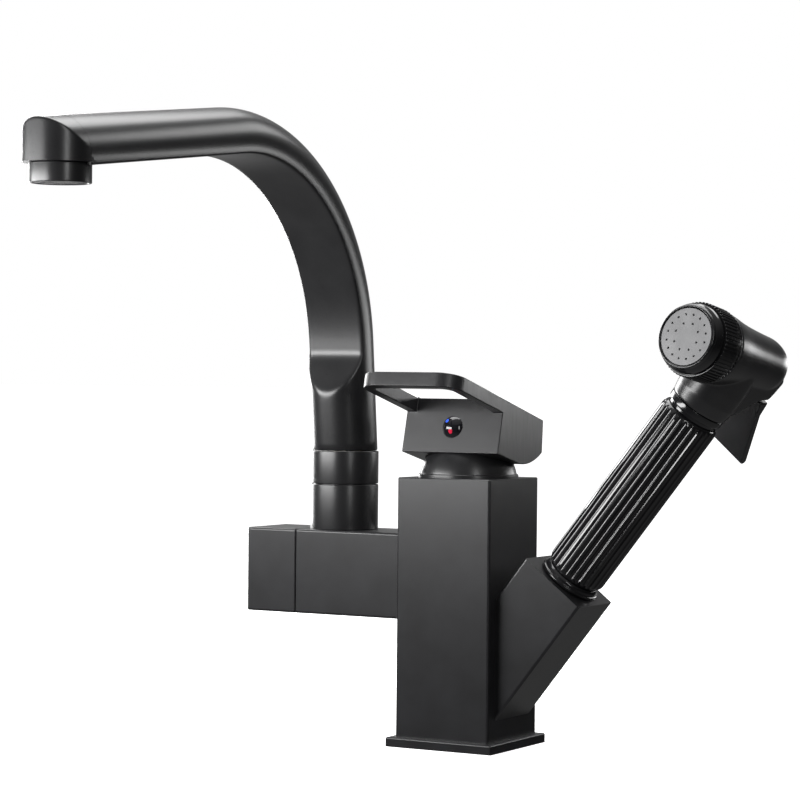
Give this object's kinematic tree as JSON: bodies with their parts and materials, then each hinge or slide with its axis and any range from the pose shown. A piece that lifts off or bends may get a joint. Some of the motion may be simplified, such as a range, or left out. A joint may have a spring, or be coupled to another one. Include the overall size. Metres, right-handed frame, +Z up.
{
  "type": "bidet mixer tap",
  "caption": "Deck-mounted single-lever mixer tap with a swivelling arched spout on a side arm, a diverter knob and a trigger hand spray held in a slanted dock.",
  "frame": {"origin": "centre of the base plate on the deck surface, on the axis of its central bore", "axes": "+Z up from the deck, -Y the way the spout points, +X the side with the hand spray"},
  "size_m": [0.2681, 0.2956, 0.2991],
  "materials": {
    "black_coating": "satin",
    "gloss_black": "gloss",
    "brass": "turned",
    "steel": "bright",
    "seal_rubber": "matte",
    "ceramic": "lapped",
    "inner_plastic": "moulded",
    "strainer": "moulded",
    "button_black": "gloss",
    "cold_blue": "gloss",
    "hot_red": "gloss",
    "face_grey": "satin"
  },
  "bodies": {
    "stand": {"base_plate": "black_coating", "base_gasket": "seal_rubber", "body_column": "black_coating", "dock_block": "black_coating", "dock_liner": "inner_plastic", "dock_screws": "steel", "arm_block": "black_coating", "arm_nipple": "brass", "arm_nipple_o_rings": "seal_rubber", "diverter_headwork": "brass", "diverter_o_ring": "seal_rubber", "diverter_fixed_disc": "ceramic", "spout_collar": "black_coating", "spout_collar_ring": "black_coating", "swivel_slip_washer": "inner_plastic", "cartridge_seal": "seal_rubber", "cartridge_base": "inner_plastic", "ceramic_fixed_disc": "ceramic", "cartridge_shell": "inner_plastic", "cartridge_nut": "brass", "bonnet_dome": "black_coating"},
    "spout": {"spout_swivel_tube": "brass", "swivel_o_rings": "seal_rubber", "swivel_clip": "steel", "spout_tube": "black_coating", "spout_nose": "black_coating", "aerator_housing": "black_coating", "aerator_insert": "strainer", "aerator_gasket": "seal_rubber"},
    "diverter": {"diverter_turning_disc": "ceramic", "diverter_spindle": "brass", "diverter_knob": "black_coating", "diverter_grub_screw": "steel"},
    "turret": {"cartridge_turret": "inner_plastic", "stem_pin": "steel"},
    "mixing_disc": {"ceramic_moving_disc": "ceramic", "disc_carrier": "inner_plastic"},
    "lever": {"cartridge_stem": "brass", "lever_handle": "black_coating", "lever_set_screw": "steel", "index_button": "button_black", "cold_mark": "cold_blue", "hot_mark": "hot_red"},
    "hose_end": {"hose_nut": "brass"},
    "spray": {"grip_collar": "gloss_black", "grip_sleeve": "gloss_black", "grip_inner_tube": "inner_plastic", "neck_ring": "gloss_black", "spray_head_body": "black_coating", "trigger_pin": "steel", "valve_spring": "steel", "knurled_ring": "gloss_black", "face_bezel": "gloss_black", "spray_face": "face_grey", "face_gasket": "seal_rubber"},
    "squeeze": {"trigger": "black_coating"},
    "valve": {"valve_plunger": "inner_plastic", "valve_seal": "seal_rubber"}
  },
  "joints": [
    {"name": "spout_swivel", "type": "hinge", "parent": "stand", "child": "spout", "pos_m": [-0.0694, 0, 0.12], "axis": [0, 0, 1], "continuous": true},
    {"name": "diverter_turn", "type": "hinge", "parent": "stand", "child": "diverter", "pos_m": [-0.0862, 0, 0.08065], "axis": [-1, 0, 0], "range_deg": [0, 90]},
    {"name": "lever_turn", "type": "hinge", "parent": "stand", "child": "turret", "pos_m": [0, 0, 0.12], "axis": [0, 0, 1], "range_deg": [-45, 45]},
    {"name": "lever_lift", "type": "hinge", "parent": "turret", "child": "lever", "pos_m": [0, 0, 0.126], "axis": [-1, 0, 0], "range_deg": [0, 20]},
    {"name": "disc_slide", "type": "slide", "parent": "turret", "child": "mixing_disc", "axis": [0, -1, 0], "range_m": [0, 0.00694]},
    {"name": "sprayer_pull", "type": "slide", "parent": "stand", "child": "hose_end", "axis": [0.6157, 0, 0.788], "range_m": [0, 0.1]},
    {"name": "sprayer_turn", "type": "hinge", "parent": "hose_end", "child": "spray", "pos_m": [0.0543, 0, 0.0812], "axis": [0.6157, 0, 0.788], "continuous": true},
    {"name": "trigger_squeeze", "type": "hinge", "parent": "spray", "child": "squeeze", "pos_m": [0.13569, 0.02447, 0.17561], "axis": [-0.7653, 0.2385, 0.5979], "range_deg": [0, 14], "stiffness_Nm_per_rad": 0.5, "springref_deg": -11.46},
    {"name": "plunger_push", "type": "slide", "parent": "spray", "child": "valve", "axis": [-0.188, -0.9711, 0.1469], "range_m": [0, 0.00184], "deforming": ["valve_spring"]}
  ],
  "couplings": [
    {"joint": "disc_slide", "follows": "lever_lift", "m_per_rad": 0.01985},
    {"joint": "plunger_push", "follows": "trigger_squeeze", "m_per_rad": 0.0075}
  ]
}
